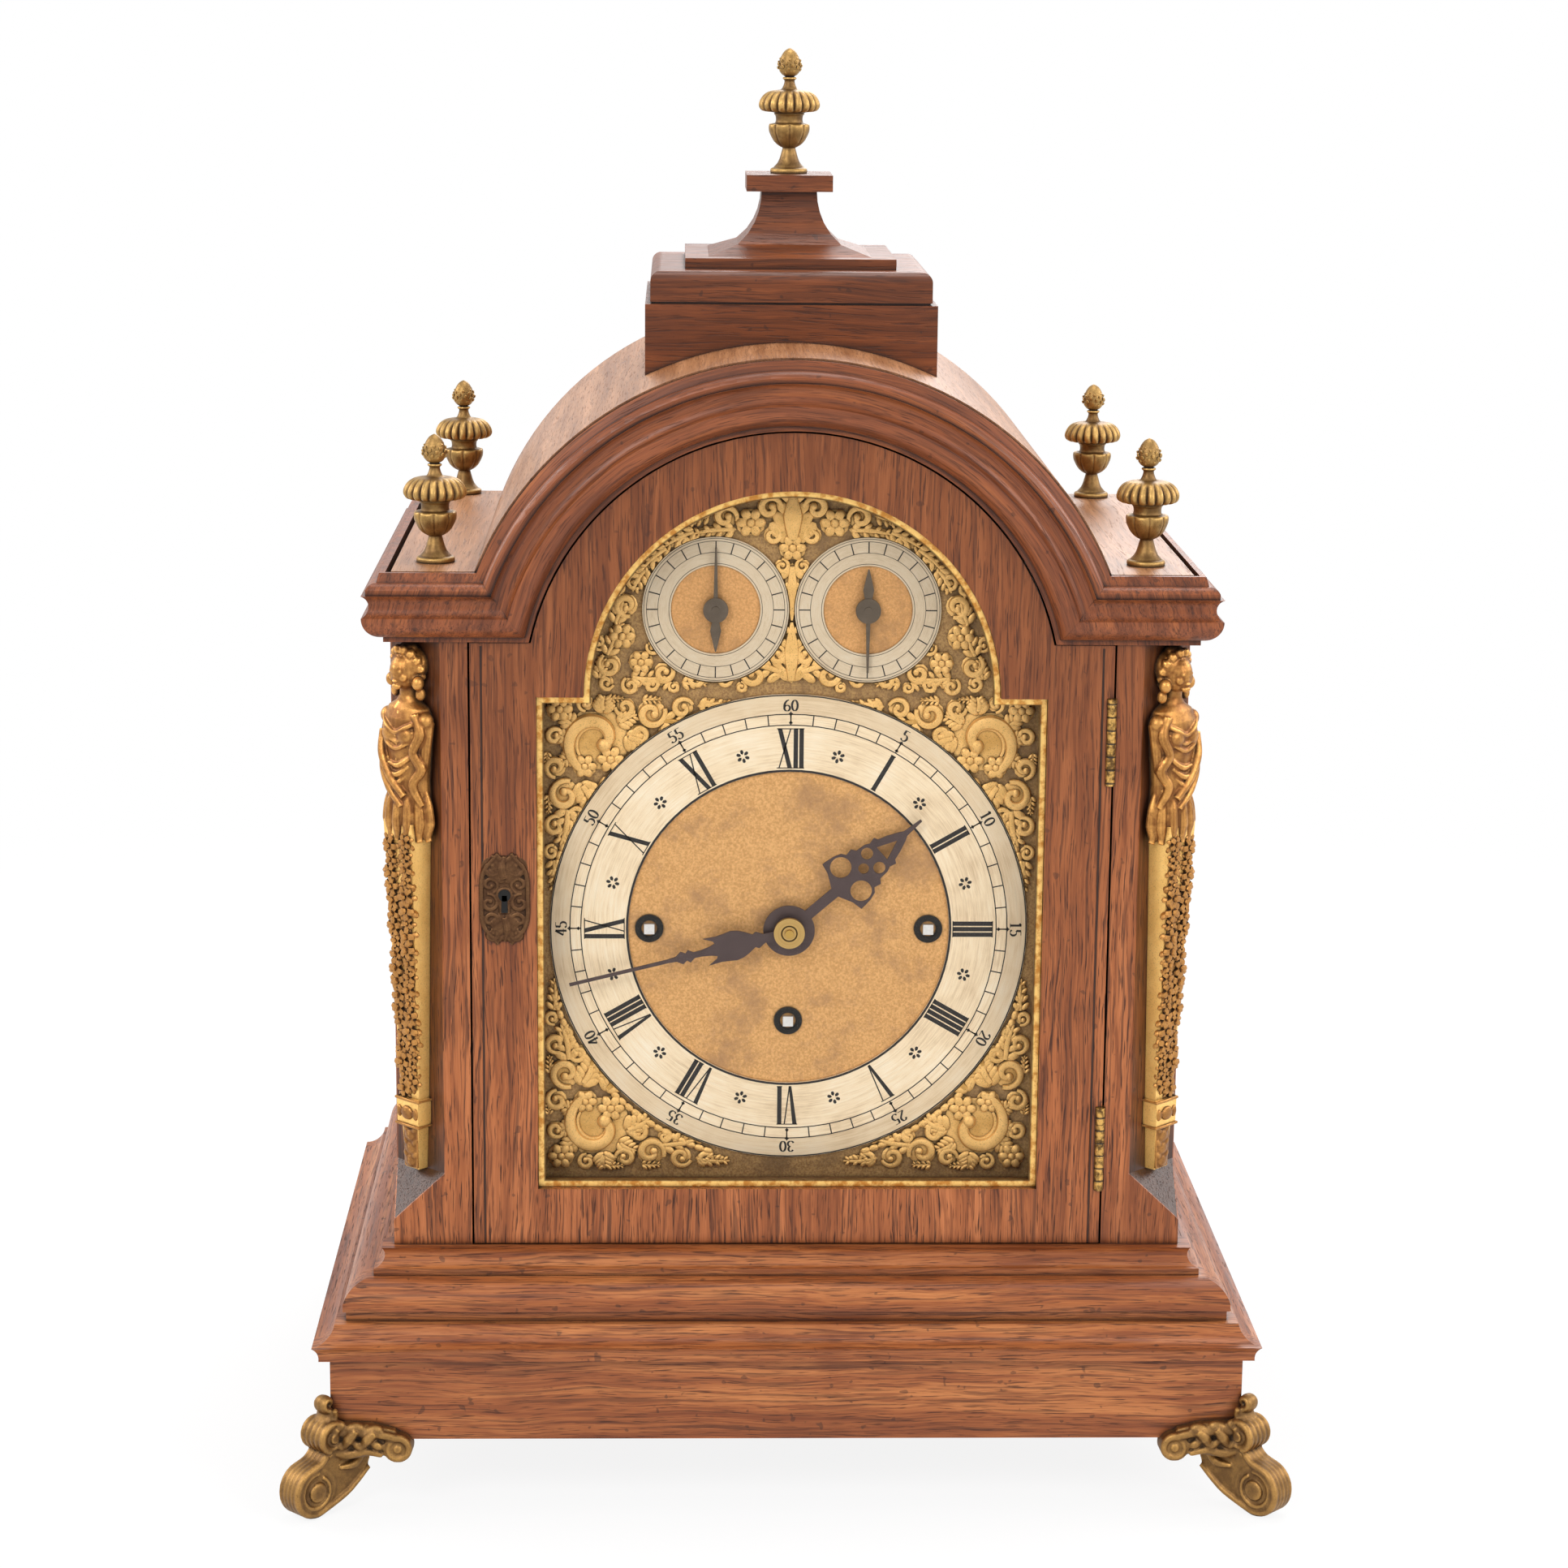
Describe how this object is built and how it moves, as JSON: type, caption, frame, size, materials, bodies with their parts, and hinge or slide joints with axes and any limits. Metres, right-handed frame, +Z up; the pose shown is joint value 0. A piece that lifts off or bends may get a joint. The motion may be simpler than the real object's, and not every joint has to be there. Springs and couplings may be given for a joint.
{
  "type": "bracket clock",
  "caption": "Arched oak table clock on gilt scroll feet, with a glazed hinged door, a brass and silvered arched dial, urn finials and a fusee movement.",
  "frame": {"origin": "on the floor under the middle of the plinth", "axes": "+Z up, the front and its door face -Y, +X to the right of someone facing the dial"},
  "size_m": [0.492, 0.3656, 0.6956],
  "materials": {
    "oak": "satin",
    "clear_glass": "polished",
    "gilt": "polished",
    "silvered": "satin",
    "dark_steel": "satin",
    "steel": "satin",
    "brass": "satin"
  },
  "bodies": {
    "case": {"plinth": "oak", "base_moulding": "oak", "bottom_board": "oak", "side_left": "oak", "side_right": "oak", "stile_left": "oak", "stile_right": "oak", "front_arch": "oak", "rear_frame": "oak", "cornice": "oak", "roof_boards": "oak", "crown_block": "oak", "crown_neck": "oak", "finial_top": "gilt", "finial_front_left": "gilt", "finial_front_right": "gilt", "finial_back_left": "gilt", "finial_back_right": "gilt", "foot_front_left": "gilt", "foot_front_right": "gilt", "foot_back_left": "gilt", "foot_back_right": "gilt", "figure_left": "gilt", "figure_right": "gilt", "dial_mask": "oak", "seatboard": "oak", "hinge_plates": "brass", "dial_plate": "brass", "dial_rings": "silvered", "dial_mounts": "gilt", "plate_front": "brass", "plate_back": "brass", "bells": "brass"},
    "door": {"door_frame": "oak", "door_glass": "clear_glass", "door_bezel": "gilt", "door_hinge_leaves": "brass", "escutcheon": "gilt", "lock_case": "steel"},
    "lock_bolt": {"lock_bolt": "steel"},
    "rear_door": {"rear_door_frame": "oak", "rear_door_glass": "clear_glass"},
    "rear_turn": {"rear_turn": "brass"},
    "minute_hand": {"minute_hand": "dark_steel"},
    "hour_hand": {"hour_hand": "dark_steel"},
    "motion_wheel": {"motion_wheel": "brass"},
    "selector_left": {"selector_left": "dark_steel"},
    "selector_right": {"selector_right": "dark_steel"},
    "fusee_going": {"fusee_going": "brass"},
    "fusee_strike": {"fusee_strike": "brass"},
    "fusee_chime": {"fusee_chime": "brass"},
    "barrel_going": {"barrel_going": "brass"},
    "barrel_strike": {"barrel_strike": "brass"},
    "barrel_chime": {"barrel_chime": "brass"},
    "centre_wheel": {"centre_wheel": "brass"},
    "third_wheel": {"third_wheel": "brass"},
    "escape_wheel": {"escape_wheel": "steel"},
    "pendulum": {"pendulum": "brass"},
    "chime_hammers": {"chime_hammers": "brass"}
  },
  "joints": [
    {"name": "door_hinge", "type": "hinge", "parent": "case", "child": "door", "pos_m": [0.1517, -0.12885, 0.1245], "axis": [0, 0, 1], "range_deg": [0, 105]},
    {"name": "bolt_slide", "type": "slide", "parent": "door", "child": "lock_bolt", "axis": [-1, 0, 0], "range_m": [0, 0.005]},
    {"name": "rear_door_hinge", "type": "hinge", "parent": "case", "child": "rear_door", "pos_m": [0.1382, 0.15835, 0.15], "axis": [0, 0, -1], "range_deg": [0, 110]},
    {"name": "rear_turn_pivot", "type": "hinge", "parent": "case", "child": "rear_turn", "pos_m": [-0.148, 0.15775, 0.275], "axis": [0, 1, 0], "range_deg": [0, 90]},
    {"name": "minute_hand_turn", "type": "hinge", "parent": "case", "child": "minute_hand", "pos_m": [0, -0.10365, 0.277], "axis": [0, 1, 0], "continuous": true},
    {"name": "hour_hand_turn", "type": "hinge", "parent": "case", "child": "hour_hand", "pos_m": [0, -0.10365, 0.277], "axis": [0, 1, 0], "continuous": true},
    {"name": "motion_wheel_turn", "type": "hinge", "parent": "case", "child": "motion_wheel", "pos_m": [0.01697, -0.082, 0.29397], "axis": [0, 1, 0], "continuous": true},
    {"name": "selector_left_turn", "type": "hinge", "parent": "case", "child": "selector_left", "pos_m": [-0.0364, -0.10365, 0.434], "axis": [0, 1, 0], "range_deg": [0, 180]},
    {"name": "selector_right_turn", "type": "hinge", "parent": "case", "child": "selector_right", "pos_m": [0.0364, -0.10365, 0.434], "axis": [0, 1, 0], "range_deg": [-180, 0]},
    {"name": "third_wheel_turn", "type": "hinge", "parent": "case", "child": "third_wheel", "pos_m": [0, -0.068, 0.3111], "axis": [0, 1, 0], "continuous": true},
    {"name": "centre_wheel_turn", "type": "hinge", "parent": "case", "child": "centre_wheel", "pos_m": [0, -0.068, 0.277], "axis": [0, 1, 0], "continuous": true},
    {"name": "escape_wheel_turn", "type": "hinge", "parent": "case", "child": "escape_wheel", "pos_m": [0, -0.02, 0.3366], "axis": [0, 1, 0], "continuous": true},
    {"name": "fusee_going_turn", "type": "hinge", "parent": "case", "child": "fusee_going", "pos_m": [0, -0.02, 0.2306], "axis": [0, 1, 0], "continuous": true},
    {"name": "fusee_strike_turn", "type": "hinge", "parent": "case", "child": "fusee_strike", "pos_m": [-0.0678, -0.02, 0.277], "axis": [0, 1, 0], "continuous": true},
    {"name": "fusee_chime_turn", "type": "hinge", "parent": "case", "child": "fusee_chime", "pos_m": [0.0678, -0.02, 0.277], "axis": [0, 1, 0], "continuous": true},
    {"name": "barrel_going_turn", "type": "hinge", "parent": "case", "child": "barrel_going", "pos_m": [-0.052, -0.07, 0.215], "axis": [0, 1, 0], "continuous": true},
    {"name": "barrel_strike_turn", "type": "hinge", "parent": "case", "child": "barrel_strike", "pos_m": [-0.078, -0.07, 0.338], "axis": [0, 1, 0], "continuous": true},
    {"name": "barrel_chime_turn", "type": "hinge", "parent": "case", "child": "barrel_chime", "pos_m": [0.078, -0.07, 0.338], "axis": [0, 1, 0], "continuous": true},
    {"name": "pendulum_swing", "type": "hinge", "parent": "case", "child": "pendulum", "pos_m": [0, -0.002, 0.3616], "axis": [0, 1, 0], "range_deg": [-3, 3]},
    {"name": "chime_hammer_lift", "type": "hinge", "parent": "case", "child": "chime_hammers", "pos_m": [0, -0.048, 0.381], "axis": [1, 0, 0], "range_deg": [0, 12]}
  ],
  "couplings": [
    {"joint": "motion_wheel_turn", "follows": "minute_hand_turn", "ratio": -1},
    {"joint": "hour_hand_turn", "follows": "minute_hand_turn", "ratio": 0.083333},
    {"joint": "centre_wheel_turn", "follows": "third_wheel_turn", "ratio": -0.083333},
    {"joint": "escape_wheel_turn", "follows": "third_wheel_turn", "ratio": -11.143},
    {"joint": "fusee_going_turn", "follows": "third_wheel_turn", "ratio": 0.0069444}
  ]
}
